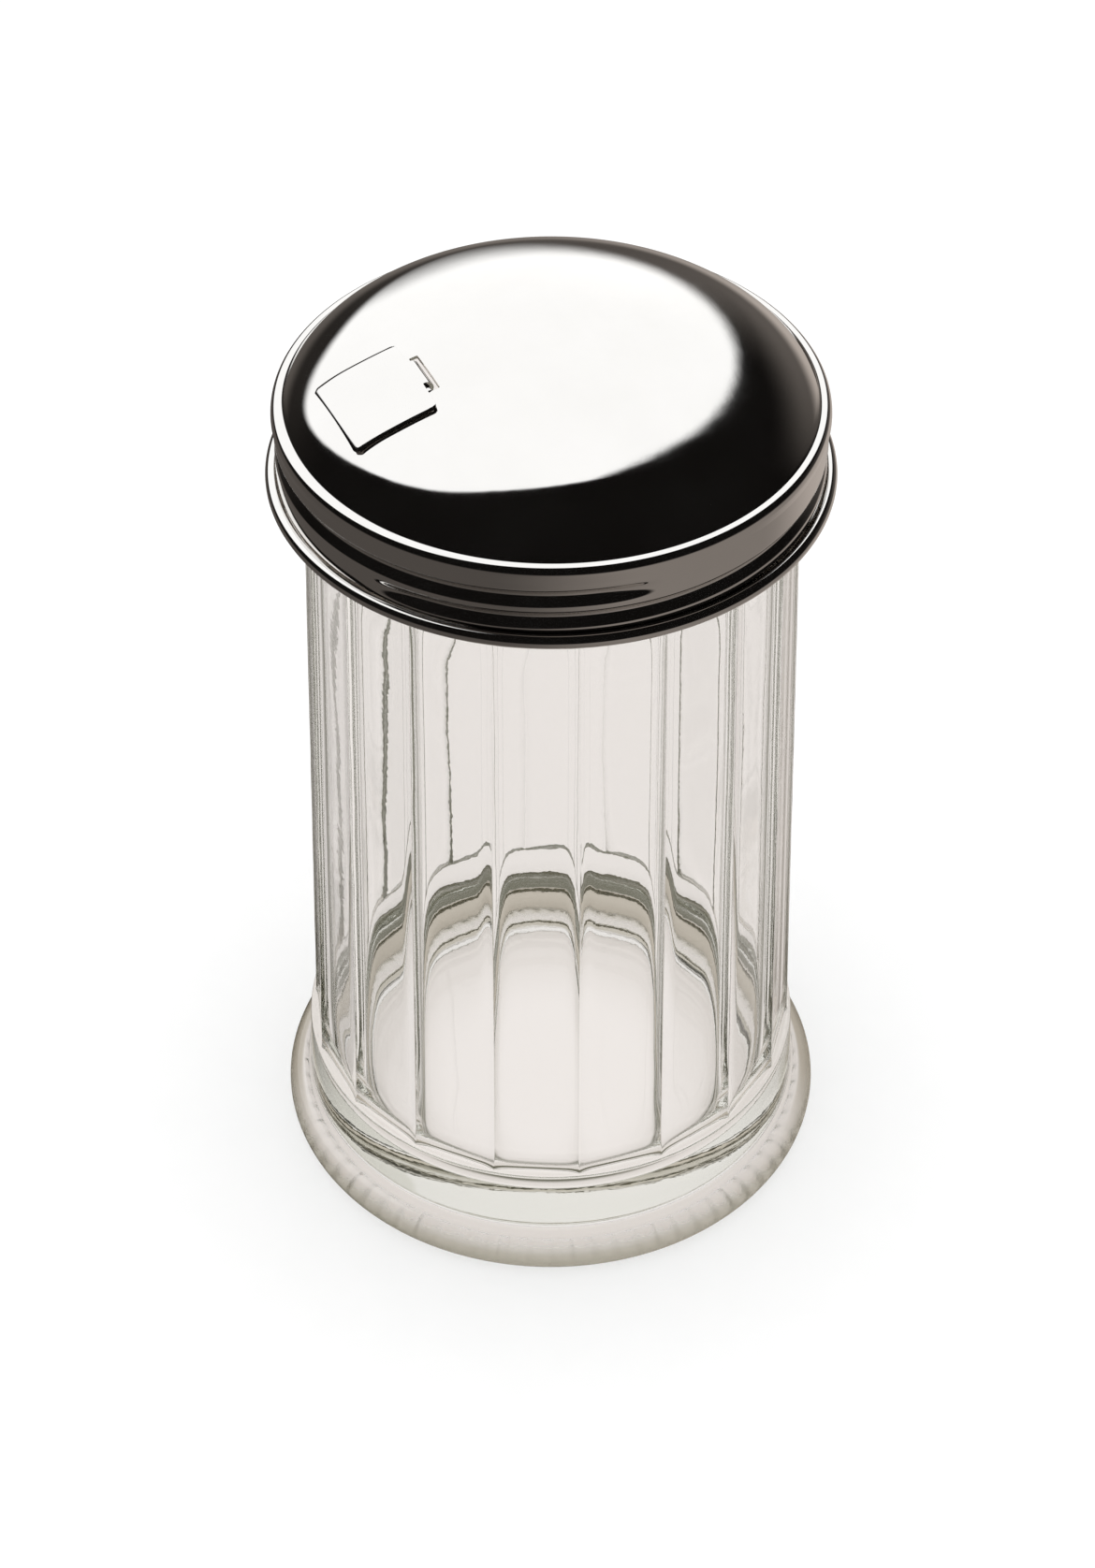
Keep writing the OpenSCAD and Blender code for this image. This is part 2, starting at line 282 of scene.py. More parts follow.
def jar_rows(theta, within):
    """Rings of the jar from the middle of its underside, up the outside and down the cavity."""
    foot_half = 2.8
    foot_r = FOOT_R - foot_half
    cove_r = 2.6
    drum_low_r = 36.85
    drum_top_r = 36.5
    drum_round = 0.5
    rows = []

    # Underside: pushed-up middle, then the knurled resting ring.
    rows += [(r, PUSH_UP_Z) for r in (5, 10, 15, 20, 24)]
    for r in np.linspace(PUSH_UP_R, REST_INNER_R, 14):
        share = (r - PUSH_UP_R) / (REST_INNER_R - PUSH_UP_R)
        rows.append((r, PUSH_UP_Z - (PUSH_UP_Z - REST_Z - WALL_ALLOWANCE) * share**2))
    knurl = smoothstep(-0.2, 0.5, np.cos(KNURLS * theta)) * KNURL_DEPTH
    rows += [(r, REST_Z) for r in (33.7, 34.0)]
    rows += [(r, REST_Z + knurl * share) for r, share in ((34.3, 0.8), (35.0, 1), (35.9, 1), (36.6, 0.8))]
    rows += [(r, REST_Z) for r in (36.9, 37.2)]

    # Foot ring, cove and drum. The round of the foot and the cove meet on the line between their centres.
    between = foot_half + cove_r
    foot_end = math.acos((drum_low_r + cove_r - foot_r) / between)
    foot_end_deg = math.degrees(foot_end)
    cove_z = REST_Z + foot_half + between * math.sin(foot_end)
    rows += arc(foot_r, REST_Z + foot_half, foot_half, -88, foot_end_deg, 24)
    rows += arc(drum_low_r + cove_r, cove_z, cove_r, 180 + foot_end_deg, 180, 12)[1:]
    rows += line(drum_low_r, cove_z, drum_top_r, FLUTE_FLOOR_Z - drum_round, 9)
    rows += arc(drum_top_r - drum_round, FLUTE_FLOOR_Z - drum_round, drum_round, 0, 90, 6)[1:]

    # Small fillet from the top of the drum into the flutes, as wide as the ledge at each column.
    fillet_h = 0.6
    wall = flute_radius(FLUTE_FLOOR_Z + fillet_h, within)
    ledge = drum_top_r - drum_round - wall
    for a in np.radians(np.linspace(0, 90, BEND_STEPS))[1:]:
        rows.append((wall + ledge * (1 - math.sin(a)), FLUTE_FLOOR_Z + fillet_h * (1 - math.cos(a))))

    # Panelled wall, slightly uneven as pressed glass is, most of all beside the ridges.
    ridge_side = smoothstep(0.75, 1, np.abs(within) * FLUTES / math.pi)
    for z in np.linspace(FLUTE_FLOOR_Z + fillet_h, FLUTE_TOP_Z, 56)[1:]:
        fade = smoothstep(0, 8, z - FLUTE_FLOOR_Z)
        uneven = waves(theta, z, *WALL_SWELL) + ridge_side * waves(theta, z, *RIDGE_RIPPLE)
        uneven = fade * np.minimum(uneven, WALL_ALLOWANCE)
        rows.append((flute_radius(z, within) - WALL_ALLOWANCE + uneven, z))

    # Cone up to the neck, then the neck with its thread.
    wall = flute_radius(FLUTE_TOP_Z, within)
    for share in (0.3, 0.6, 0.85, 1):
        z = FLUTE_TOP_Z + (NECK_Z - FLUTE_TOP_Z) * share
        rows.append((wall + (NECK_R - wall) * smoothstep(-0.15, 1, share), z))
    neck_top = LIP_Z - LIP_ROUND
    for z in np.linspace(NECK_Z, neck_top, 35)[1:]:
        rows.append((NECK_R + THREAD_PROUD * thread_height(theta, z, GLASS_LIFT, GLASS_THREAD_HALF), z))
    for r, z in arc(NECK_R - LIP_ROUND, neck_top, LIP_ROUND, 0, 90, BEND_STEPS)[1:]:
        fade = smoothstep(neck_top + LIP_ROUND * 0.8, neck_top, z)
        rows.append((r + THREAD_PROUD * fade * thread_height(theta, z, GLASS_LIFT, GLASS_THREAD_HALF), z))

    # Mouth, inner wall, rounded corner and glass floor.
    rows += arc(MOUTH_R + LIP_ROUND, neck_top, LIP_ROUND, 90, 180, BEND_STEPS)
    for z in np.linspace(neck_top, FLUTE_TOP_Z, 12)[1:]:
        widening = smoothstep(FLUTE_TOP_Z - 1, CAVITY_NECK_Z, z)
        rows.append((CAVITY_HIGH_R + (MOUTH_R - CAVITY_HIGH_R) * widening, z))
    corner_z = FLOOR_Z + CORNER_R
    for z in np.linspace(FLUTE_TOP_Z, corner_z, 44)[1:]:
        share = (FLUTE_TOP_Z - z) / (FLUTE_TOP_Z - corner_z)
        fade = smoothstep(0, 0.08, share) * smoothstep(1, 0.9, share)
        uneven = waves(theta, z, *CAVITY_SWELL) + waves(theta, z, *CAVITY_RIPPLE)
        inner = cavity_radius(CAVITY_HIGH_R + (CAVITY_LOW_R - CAVITY_HIGH_R) * share, within, fade)
        rows.append((inner + fade * uneven, z))
    rows += arc(CAVITY_LOW_R - CORNER_R, corner_z, CORNER_R, 0, -90, 16)[1:]
    rows += [(r, FLOOR_Z) for r in (18, 14, 10, 6, 2.5)]
    return rows


def make_jar():
    theta, within = flute_layout()
    rows = jar_rows(theta, within)
    return lathe_mesh("glass_jar", theta, rows, PUSH_UP_Z, FLOOR_Z, SOFT_SHARP_DEG)


# ---- steel lid ----

SHEET = 0.45
CAP_R = 84
SHOULDER_R = 17
CREASE_R = 35.5
CREASE_DEG = 55
LEDGE_Z = 130
SKIRT_R = 36.8
EDGE_R = 37.05
GROOVE_DEPTH = 0.95
GROOVE_HALF = 1.5
BEAD_R = 1.0
LID_COLUMNS = 288

shoulder_r0 = CREASE_R - SHOULDER_R * math.sin(math.radians(CREASE_DEG))
shoulder_z0 = LEDGE_Z - SHOULDER_R * math.cos(math.radians(CREASE_DEG))
cap_z0 = APEX_Z - CAP_R
blend_deg = math.degrees(math.asin(shoulder_r0 / (CAP_R - SHOULDER_R)))
bead_z = BEAD_LOW_Z + BEAD_R
bead_r0 = BEAD_OUT_R - BEAD_R


def dome_rows(grow, end_deg, cap_steps, shoulder_steps):
    """Section of the dome from near the axis out to the crease, grown outward by the given distance."""
    cap = arc(0, cap_z0, CAP_R + grow, 90, 90 - blend_deg, cap_steps)[1:]
    bend = SHOULDER_R + grow
    shoulder = arc(shoulder_r0, shoulder_z0, bend, 90 - blend_deg, 90 - end_deg, shoulder_steps)
    return cap + shoulder[1:]


def dome_height(r, grow):
    """Height of the dome at a distance from the axis, grown outward by the given distance."""
    blend_r = (CAP_R + grow) * math.sin(math.radians(blend_deg))
    cap = cap_z0 + np.sqrt((CAP_R + grow) ** 2 - np.minimum(r, blend_r) ** 2)
    out = np.clip(r - shoulder_r0, 0, SHOULDER_R + grow)
    shoulder = shoulder_z0 + np.sqrt((SHOULDER_R + grow) ** 2 - out**2)
    return np.where(r < blend_r, cap, shoulder)


def lid_rows(theta):
    """Rings of the lid from the middle of the dome, down the outside, round the bead and back up inside."""
    edge_tall = 1.3
    edge_wide = 0.85
    edge_z = LEDGE_Z - edge_tall
    edge_r = EDGE_R - edge_wide
    skirt_top = 127.6
    skirt_low = bead_z + 0.35
    inner_r = SKIRT_R - SHEET
    heights = np.linspace(skirt_top, skirt_low, 40)
    rows = dome_rows(0, CREASE_DEG - 1.5, 30, 18)
    rows += [(CREASE_R + 0.02, LEDGE_Z + 0.05), (CREASE_R + 0.16, LEDGE_Z)]
    rows += arc(edge_r, edge_z, edge_wide, 90, 0, 10, edge_tall)
    for z in heights:
        rows.append((SKIRT_R - GROOVE_DEPTH * thread_height(theta, z, 0, GROOVE_HALF), z))
    rows += arc(bead_r0, bead_z, BEAD_R - SHEET, 170, 462, 22)
    rows += arc(bead_r0, bead_z, BEAD_R - SHEET / 2, 468, 468, 0)
    rows += arc(bead_r0, bead_z, BEAD_R, 462, 175, 26)
    for z in heights[::-1]:
        rows.append((inner_r - GROOVE_DEPTH * thread_height(theta, z, 0, GROOVE_HALF + 0.2), z))
    rows += arc(edge_r, edge_z, edge_wide - SHEET, 0, 90, 5, edge_tall - SHEET)
    rows += dome_rows(-SHEET, CREASE_DEG, 14, 10)[::-1]
    return rows


def rounded_box(name, low, high, radius):
    """Box with its upright edges rounded, used to cut the openings of the lid."""
    corners = [(high[0], high[1], 0), (low[0], high[1], 90), (low[0], low[1], 180), (high[0], low[1], 270)]
    outline = []
    for x, y, start in corners:
        cx = x - math.copysign(radius, x - (low[0] + high[0]) / 2)
        cy = y - math.copysign(radius, y - (low[1] + high[1]) / 2)
        outline += arc(cx, cy, radius, start, start + 90, 5)
    n = len(outline)
    points = [(x, y, low[2]) for x, y in outline] + [(x, y, high[2]) for x, y in outline]
    faces = [tuple(range(n - 1, -1, -1)), tuple(range(n, 2 * n))]
    faces += [(i, (i + 1) % n, n + (i + 1) % n, n + i) for i in range(n)]
    return mesh_piece(name, points, faces, SHEET_SHARP_DEG)


def round_bar(name, radius, half_length, y, z, columns):
    """Hinge bar along X with rounded ends."""
    end = 0.2
    stations = [(-half_length, radius - end), (-half_length + end, radius)]
    stations += [(x, radius) for x in np.linspace(-half_length + 1, half_length - 1, 7)]
    stations += [(half_length - end, radius), (half_length, radius - end)]
    turn = np.linspace(0, 2 * math.pi, columns, endpoint=False)
    points = [(x, y + r * math.cos(a), z + r * math.sin(a)) for x, r in stations for a in turn]
    faces = [tuple(range(columns)), tuple(range(len(points) - 1, len(points) - columns - 1, -1))]
    for i in range(len(stations) - 1):
        for j in range(columns):
            k = (j + 1) % columns
            a = i * columns
            faces.append((a + j, a + columns + j, a + columns + k, a + k))
    return mesh_piece(name, points, faces, SOLID_SHARP_DEG)


def combine(target, tool, operation):
    """Boolean of target with tool, applied to target's mesh; tool is then removed."""
    modifier = target.modifiers.new("combine", "BOOLEAN")
    modifier.object = tool
    modifier.operation = operation
    modifier.solver = "EXACT"
    bake_modifiers(target)
    bpy.data.objects.remove(tool)


def bake_modifiers(obj):
    """Replaces obj's mesh by its evaluated mesh and drops its modifiers."""
    graph = bpy.context.evaluated_depsgraph_get()
    baked = bpy.data.meshes.new_from_object(obj.evaluated_get(graph))
    obj.modifiers.clear()
    obj.data = baked


HINGE_R = 18.8
STRIP_HALF = 0.28
BAR_R = 0.55
BAR_HALF = 3.95
BAR_COLUMNS = 24
SLOT_HALF_W = 3.85
SLOT_REACH = 17.3
SLOT_CORNER = 0.2
POUR_HALF_W = 5.5
POUR_REACH = 29.2
POUR_CORNER = 0.5


def make_lid():
    """Spun lid with the pour opening and the slot cut through it, and the hinge bar between them."""
    theta = np.linspace(0, 2 * math.pi, LID_COLUMNS, endpoint=False)
    lid = lathe_mesh("steel_lid", theta, lid_rows(theta), APEX_Z, APEX_Z - SHEET, SHEET_SHARP_DEG)
    low, high = LIP_Z, APEX_Z + 3
    pour_low = (-POUR_HALF_W, -POUR_REACH, low)
    pour_high = (POUR_HALF_W, -HINGE_R - STRIP_HALF, high)
    combine(lid, rounded_box("pour_cut", pour_low, pour_high, POUR_CORNER), "DIFFERENCE")
    slot_low = (-SLOT_HALF_W, -HINGE_R + STRIP_HALF, low)
    slot_high = (SLOT_HALF_W, -SLOT_REACH, high)
    combine(lid, rounded_box("slot_cut", slot_low, slot_high, SLOT_CORNER), "DIFFERENCE")
    bar = round_bar("hinge_bar", BAR_R, BAR_HALF, hinge_y, hinge_z, BAR_COLUMNS)
    combine(lid, bar, "UNION")
    finish_mesh(lid, SHEET_SHARP_DEG)
    return lid


# ---- pour flap ----

FLAP_GAP = 0.2
FLAP_HALF_W = flap_high[0]
FLAP_REACH = -flap_low[1]
FLAP_INNER = HINGE_R + 0.3
TONGUE_HALF_W = 2.6
LOOP_MID_R = 0.825
CORNER_CUT = 0.5
CORNER_PULL = 0.6
PLATE_COLUMNS = (-6.2, -5.2, -4.2, -3.4)
TONGUE_COLUMNS = (-TONGUE_HALF_W, -1.7, -0.8, 0)
EDGE_FALL = 0.8
OUTER_FALL = 1.1
EDGE_DROP = 0.19
FLAP_THIN = 0.96
FLAP_EDGE_ROUND = 0.19
TONGUE_DEG = (92, -195)
TONGUE_STEPS = 26


def flap_plate_rows():
    """Mid-surface of the plate as rows of points, from the inner edge to the outer one.
    Its corners are cut a little and its free edges are turned down towards the dome."""
    mid = FLAP_GAP + SHEET / 2
    outer_x = FLAP_HALF_W
    margin = [i / 4 for i in range(5)]
    xs = [-outer_x + EDGE_FALL * m for m in margin] + [*PLATE_COLUMNS, *TONGUE_COLUMNS]
    xs += [-x for x in xs[-2::-1]]
    rows = []
    inner_part = [FLAP_INNER, FLAP_INNER + 0.25, FLAP_INNER + 0.6]
    outer_part = [FLAP_REACH - OUTER_FALL * m for m in margin[::-1]]
    middle_part = np.linspace(20.4, 29.0, 11)
    for y in np.concatenate([inner_part, middle_part, outer_part]):
        edge = min(y - FLAP_INNER, FLAP_REACH - y)
        row = []
        for x in xs:
            near = outer_x - abs(x)
            pull = max(0, CORNER_CUT - edge) * max(0, CORNER_CUT - near) / CORNER_CUT * CORNER_PULL
            px = x - math.copysign(pull, x) if near < CORNER_CUT else x
            py = y + math.copysign(pull, (FLAP_INNER + FLAP_REACH) / 2 - y) if near < CORNER_CUT else y
            fall = max(0, 1 - min(near / EDGE_FALL, (FLAP_REACH - y) / OUTER_FALL)) ** 2 * EDGE_DROP
            row.append((px, -py, float(dome_height(np.array(math.hypot(px, py)), mid)) - fall))
        rows.append(row)
    return xs, rows


def make_flap():
    """Plate that follows the dome, with a tongue curled round the hinge bar. Thickness comes last."""
    xs, rows = flap_plate_rows()
    width = len(xs)
    points = [p for row in rows for p in row]
    faces = []
    for i in range(len(rows) - 1):
        for j in range(width - 1):
            a = i * width + j
            faces.append((a, a + 1, a + width + 1, a + width))

    # The tongue leaves the inner edge and curls over the bar, down through the slot and back under.
    tilt = math.asin(HINGE_R / CAP_R)
    first = xs.index(-TONGUE_HALF_W)
    last = len(xs) - 1 - first
    previous = list(range(first, last + 1))
    for a in np.radians(np.linspace(*TONGUE_DEG, TONGUE_STEPS)):
        along = LOOP_MID_R * math.cos(a)
        up = LOOP_MID_R * math.sin(a)
        y = hinge_y + along * math.cos(tilt) - up * math.sin(tilt)
        z = hinge_z + along * math.sin(tilt) + up * math.cos(tilt)
        start = len(points)
        points += [(x, y, z) for x in xs[first:last + 1]]
        current = list(range(start, len(points)))
        for j in range(len(current) - 1):
            faces.append((previous[j], current[j], current[j + 1], previous[j + 1]))
        previous = current
    flap = mesh_piece("pour_flap", points, faces, SOFT_SHARP_DEG)
    thick = flap.modifiers.new("thickness", "SOLIDIFY")
    thick.thickness = SHEET * MM * FLAP_THIN
    thick.offset = 0
    thick.use_even_offset = True
    bevel = flap.modifiers.new("edges", "BEVEL")
    bevel.width = FLAP_EDGE_ROUND * MM
    bevel.segments = 4
    bevel.limit_method = "ANGLE"
    bevel.angle_limit = math.radians(50)
    bake_modifiers(flap)
    finish_mesh(flap, SOLID_SHARP_DEG)
    return flap


# ---- seal ring ----


def make_seal():
    """Flat washer with rounded rims and a shallow pressed groove on top."""
    inner_r = 32.6
    outer_r = seal_high[0]
    low, high = seal_low[2], seal_high[2]
    rim = 0.25
    theta = np.linspace(0, 2 * math.pi, 192, endpoint=False)
    section = arc(outer_r - rim, low + rim, rim, -90, 0, 4)
    section += arc(outer_r - rim, high - rim, rim, 0, 90, 4)
    middle = (inner_r + outer_r) / 2
    bed = high - 0.08
    section += [(middle + 0.9, high), (middle + 0.7, bed), (middle - 0.7, bed), (middle - 0.9, high)]
    section += arc(inner_r + rim, high - rim, rim, 90, 180, 4)
    section += arc(inner_r + rim, low + rim, rim, 180, 270, 4)
    count = len(section)
    points = [(r * math.cos(t), r * math.sin(t), z) for t in theta for r, z in section]
    faces = []
    for j in range(len(theta)):
        k = (j + 1) % len(theta)
        for i in range(count):
            n = (i + 1) % count
            faces.append((j * count + i, k * count + i, k * count + n, j * count + n))
    return mesh_piece("seal_washer", points, faces, SOLID_SHARP_DEG)


# ---- node helper ----


class Nodes:
    """Short calls for building a node tree."""

    def __init__(self, tree):
        self.tree = tree
        tree.nodes.clear()

    def put(self, socket, value):
        if isinstance(value, bpy.types.NodeSocket):
            self.tree.links.new(value, socket)
        else:
            socket.default_value = value

    def add(self, kind, inputs=None, **settings):
        node = self.tree.nodes.new(kind)
        for key, value in settings.items():
            setattr(node, key, value)
        for key, value in (inputs or {}).items():
            self.put(node.inputs[key], value)
        return node

    def math(self, operation, *values, clamp=False):
        inputs = dict(enumerate(values))
        return self.add("ShaderNodeMath", inputs, operation=operation, use_clamp=clamp).outputs[0]

    def vector(self, operation, *values):
        node = self.add("ShaderNodeVectorMath", dict(enumerate(values)), operation=operation)
        return node.outputs["Value" if operation in ("DOT_PRODUCT", "LENGTH") else "Vector"]

    def ramp(self, value, low, high, to_low=0.0, to_high=1.0):
        """Smooth change from to_low to to_high as value goes from low to high."""
        inputs = {"Value": value, "From Min": low, "From Max": high}
        inputs.update({"To Min": to_low, "To Max": to_high})
        return self.add("ShaderNodeMapRange", inputs, interpolation_type="SMOOTHSTEP").outputs[0]

    def blend(self, share, a, b):
        """Colour between a and b."""
        node = self.add("ShaderNodeMix", data_type="RGBA")
        self.put(node.inputs[0], share)
        self.put(node.inputs[6], a)
        self.put(node.inputs[7], b)
        return node.outputs[2]

    def mix(self, share, a, b):
        """Shader between a and b."""
        return self.add("ShaderNodeMixShader", {0: share, 1: a, 2: b}).outputs[0]

    def noise(self, scale, detail=2.0, roughness=0.5, vector=None):
        inputs = {"Scale": scale, "Detail": detail, "Roughness": roughness}
        if vector is not None:
            inputs["Vector"] = vector
        return self.add("ShaderNodeTexNoise", inputs).outputs["Fac"]


def rgb(r, g, b):
    return (r, g, b, 1.0)


def new_material(name):
    material = bpy.data.materials.new(name)
    material.use_nodes = True
    nodes = Nodes(material.node_tree)
    output = nodes.add("ShaderNodeOutputMaterial")
    return material, nodes, output


# ---- studio seen by mirrors and through glass ----

# Big soft window above and behind, as four edges. Each has the direction that points inward across it, as
# a turn from the camera's right towards its heading and a rise above level, in degrees, and its slack.
WINDOW_EDGES = ((171, 26, 0.025), (123.5, -8, -0.005), (60.5, 30.5, -0.13), (-66, 0.5, 0.98))
WINDOW_ROUND = 0.69
WINDOW_SOFT = 0.015
WINDOW_LIGHT = 1.26
WINDOW_COLOUR = (0.985, 1.0, 1.01)

# Dim room that mirrors see beside the window: where each part of it fades, and how bright it gets.
ROOM_COLOUR = (1.0, 0.89, 0.81)
ROOM_LIGHT = 0.005
BACK_AWAY = (0.2, 0.95)
BACK_UP = (0.5, 0.05)
BACK_RIGHT = (-0.4, 0.35)
BACK_LIGHT = (0.02, 0.12)
TABLE_UP = (-0.02, -0.25)
TABLE_RIGHT = (-0.35, 0.5)
TABLE_LIGHT = (0.085, 0.24)
FAR_AWAY = (0.1, 0.6)
FAR_RIGHT = (-0.1, 0.3)
FAR_LIGHT = (0.0, 0.16)


def heading_parts(n):
    """Direction of the ray: its parts to the right, away and up as the camera heads, and its part along
    the camera's own line of sight."""
    geometry = n.add("ShaderNodeNewGeometry")
    direction = n.vector("SCALE", geometry.outputs["Incoming"])
    direction.node.inputs["Scale"].default_value = -1
    forward = n.add("ShaderNodeVectorTransform", {"Vector": (0, 0, 1)}, vector_type="VECTOR",
                    convert_from="CAMERA", convert_to="WORLD").outputs[0]
    split = n.add("ShaderNodeSeparateXYZ", {0: forward})
    level = n.add("ShaderNodeCombineXYZ", {0: split.outputs[0], 1: split.outputs[1]}).outputs[0]
    away = n.vector("NORMALIZE", level)
    axes = n.add("ShaderNodeSeparateXYZ", {0: away})
    minus_x = n.math("MULTIPLY", axes.outputs[0], -1.0)
    right = n.add("ShaderNodeCombineXYZ", {0: axes.outputs[1], 1: minus_x}).outputs[0]
    up = n.add("ShaderNodeSeparateXYZ", {0: direction}).outputs[2]
    view = n.vector("DOT_PRODUCT", direction, n.vector("NORMALIZE", forward))
    to_right = n.vector("DOT_PRODUCT", direction, right)
    to_away = n.vector("DOT_PRODUCT", direction, away)
    return to_right, to_away, up, view


def lit_colour(n, right, away, up):
    """What a mirror sees: the soft window, a dim warm room behind, a dark front and a dim table."""
    here = n.add("ShaderNodeCombineXYZ", {0: right, 1: away, 2: up}).outputs[0]
    edges = []
    for turn_deg, rise_deg, slack in WINDOW_EDGES:
        turn = math.radians(turn_deg)
        rise = math.radians(rise_deg)
        inward = (math.cos(rise) * math.cos(turn), math.cos(rise) * math.sin(turn), math.sin(rise))
        edges.append(n.math("ADD", n.vector("DOT_PRODUCT", here, inward), slack))
    first = n.math("SMOOTH_MIN", edges[0], edges[1], WINDOW_ROUND)
    second = n.math("SMOOTH_MIN", edges[2], edges[3], WINDOW_ROUND)
    inside = n.math("SMOOTH_MIN", first, second, WINDOW_ROUND)
    window = n.math("MULTIPLY", n.ramp(inside, -WINDOW_SOFT, WINDOW_SOFT), WINDOW_LIGHT)
    back = n.math("MULTIPLY", n.ramp(away, *BACK_AWAY), n.ramp(up, *BACK_UP))
    back = n.math("MULTIPLY", back, n.ramp(right, *BACK_RIGHT, *BACK_LIGHT))
    far = n.math("MULTIPLY", n.ramp(away, *FAR_AWAY, *FAR_LIGHT), n.ramp(right, *FAR_RIGHT))
    table = n.math("ADD", n.ramp(right, *TABLE_RIGHT, *TABLE_LIGHT), far)
    table = n.math("MULTIPLY", n.ramp(up, *TABLE_UP), table)
    room = n.math("ADD", n.math("ADD", back, table), ROOM_LIGHT)
    warm = n.add("ShaderNodeVectorMath", {0: ROOM_COLOUR, "Scale": room}, operation="SCALE").outputs[0]
    cool = n.add("ShaderNodeVectorMath", {0: WINDOW_COLOUR, "Scale": window}, operation="SCALE").outputs[0]
    return n.vector("ADD", warm, cool), window


WHITE = rgb(1.0, 1.0, 1.0)

# Field seen through glass: bright along the line of sight, dark at its edge, paler in front and above.
FIELD_VIEW = (0.48, 0.83)
FIELD_BRIGHT = rgb(0.92, 0.89, 0.87)
FIELD_DARK = rgb(0.035, 0.037, 0.026)
FIELD_FRONT = rgb(0.20, 0.195, 0.155)
FIELD_SKY = rgb(0.80, 0.775, 0.73)
FRONT_AWAY = (-0.15, -0.4)
SKY_UP = (0.25, 0.45)
SKY_AWAY = (-0.35, -0.1)

# Table seen through glass, as a painted glow: bright along the line of sight, painted dark at its edge, and
# a painted contact shadow in a ring where the jar stands.
TABLE_TONE = rgb(0.955, 0.905, 0.875)
TABLE_EDGE_PAINTED_DARK = rgb(0.18, 0.175, 0.135)
CONTACT_SHADOW_PAINT = rgb(0.76, 0.71, 0.67)
CONTACT_SHADOW_IN = (0.012, 0.035)
CONTACT_SHADOW_OUT = (0.043, 0.038)

# Table as the camera sees it.
TABLE_SPECK_SCALE = 900.0
TABLE_LOW = rgb(0.93, 0.93, 0.93)
TABLE_HIGH = rgb(0.95, 0.95, 0.95)


def build_world():
    """White for the camera, even light for the table, the studio for mirrors, a bright field for glass."""
    world = bpy.data.worlds.new("studio")
    bpy.context.scene.world = world
    world.use_nodes = True
    n = Nodes(world.node_tree)
    output = n.add("ShaderNodeOutputWorld")
    rays = n.add("ShaderNodeLightPath").outputs
    right, away, up, view = heading_parts(n)
    studio, window = lit_colour(n, right, away, up)
    edge = n.blend(n.ramp(away, *FRONT_AWAY), FIELD_DARK, FIELD_FRONT)
    sky = n.math("MULTIPLY", n.ramp(up, *SKY_UP), n.ramp(away, *SKY_AWAY))
    edge = n.blend(sky, edge, FIELD_SKY)
    bright = n.math("MAXIMUM", n.ramp(view, *FIELD_VIEW), n.math("MINIMUM", window, 1.0))
    field = n.blend(bright, edge, FIELD_BRIGHT)
    colour = n.blend(rays["Is Glossy Ray"], WHITE, studio)
    colour = n.blend(rays["Is Transmission Ray"], colour, field)
    colour = n.blend(rays["Is Diffuse Ray"], colour, WHITE)
    colour = n.blend(rays["Is Camera Ray"], colour, WHITE)
    background = n.add("ShaderNodeBackground", {"Color": colour, "Strength": 1.0})
    n.put(output.inputs["Surface"], background.outputs[0])


def floor_material():
    """Pale table. Mirrors see it dim and warm, and glass sees it as a painted glow, bright only behind the
    object, with a painted contact shadow round the jar's foot.
    """
    material, n, output = new_material("pale_table")
    rays = n.add("ShaderNodeLightPath").outputs
    right, away, up, view = heading_parts(n)
    studio, _ = lit_colour(n, right, away, up)
    speck = n.noise(TABLE_SPECK_SCALE, 3.0)
    white = n.blend(speck, TABLE_LOW, TABLE_HIGH)
    table = n.add("ShaderNodeBsdfDiffuse", {"Color": white}).outputs[0]
    mirror_look = n.add("ShaderNodeEmission", {"Color": studio}).outputs[0]
    spot = n.add("ShaderNodeSeparateXYZ", {0: n.add("ShaderNodeNewGeometry").outputs["Position"]})
    level = n.add("ShaderNodeCombineXYZ", {0: spot.outputs[0], 1: spot.outputs[1]}).outputs[0]
    reach = n.vector("LENGTH", level)
    # Painted contact shadow on the table round the jar's foot, and painted dark where glass sees the table
    # off the line of sight.
    contact_shadow = n.math("MULTIPLY", n.ramp(reach, *CONTACT_SHADOW_IN), n.ramp(reach, *CONTACT_SHADOW_OUT))
    tone = n.blend(contact_shadow, TABLE_TONE, CONTACT_SHADOW_PAINT)
    tone = n.blend(n.ramp(view, *FIELD_VIEW), TABLE_EDGE_PAINTED_DARK, tone)
    glass_look = n.add("ShaderNodeEmission", {"Color": tone}).outputs[0]
    surface = n.mix(rays["Is Glossy Ray"], table, mirror_look)
    surface = n.mix(rays["Is Transmission Ray"], surface, glass_look)
    surface = n.mix(rays["Is Diffuse Ray"], surface, table)
    n.put(output.inputs["Surface"], surface)
    return material


# ---- materials of the object ----

GLASS_IOR = 1.52
GLASS_SHADOW = rgb(0.90, 0.90, 0.895)
GLASS_DEPTH_COLOUR = rgb(0.66, 0.72, 0.55)
GLASS_DEPTH_DENSITY = 3.0
WORN_HEIGHT = (0.0006, 0.0001)
WORN_ROUGHNESS = (0.0, 0.25)
# Painted shade on the glass: the outer foot ring is tinted grey, beyond this reach from the axis and below
# this height, in metres.
FOOT_SHADE_REACH = (0.0366, 0.0378)
FOOT_SHADE_HEIGHT = (0.0058, 0.0036)
FOOT_SHADE_PAINT = rgb(0.66, 0.635, 0.57)

